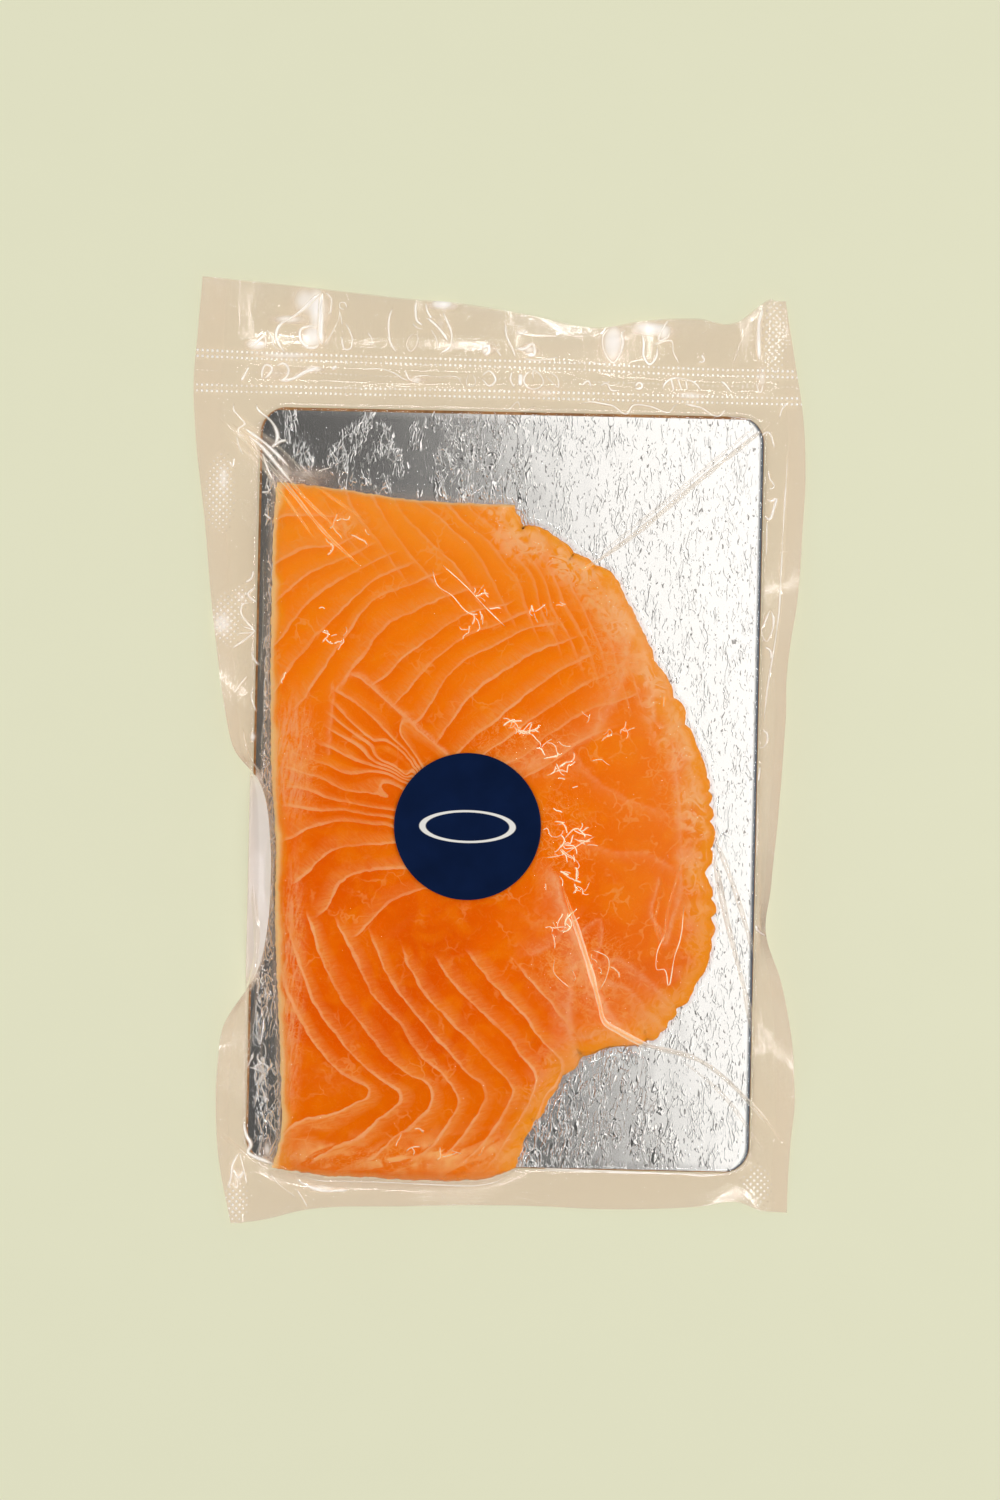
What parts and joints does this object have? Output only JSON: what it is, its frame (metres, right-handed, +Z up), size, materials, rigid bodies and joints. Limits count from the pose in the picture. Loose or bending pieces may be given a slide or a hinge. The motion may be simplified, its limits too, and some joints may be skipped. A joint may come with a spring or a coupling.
{
  "type": "pack of smoked salmon",
  "caption": "Clear vacuum pouch lying flat, with sliced smoked salmon on a foil-faced card board and a round label on its front.",
  "frame": {"origin": "on the table, under the middle of the pouch's bounding box", "axes": "+Z up out of the front of the pack, +Y along its length towards the mouth of the pouch, +X to the right"},
  "size_m": [0.1866, 0.2854, 0.0132],
  "materials": {
    "pouch_film": "gloss",
    "board_card": "matte",
    "board_foil": "gloss",
    "salmon_flesh": "gloss",
    "label_paper": "satin"
  },
  "bodies": {
    "root": {"back_film": "pouch_film", "board_card": "board_card", "board_foil": "board_foil", "salmon": "salmon_flesh", "front_film": "pouch_film", "label": "label_paper"}
  },
  "joints": []
}
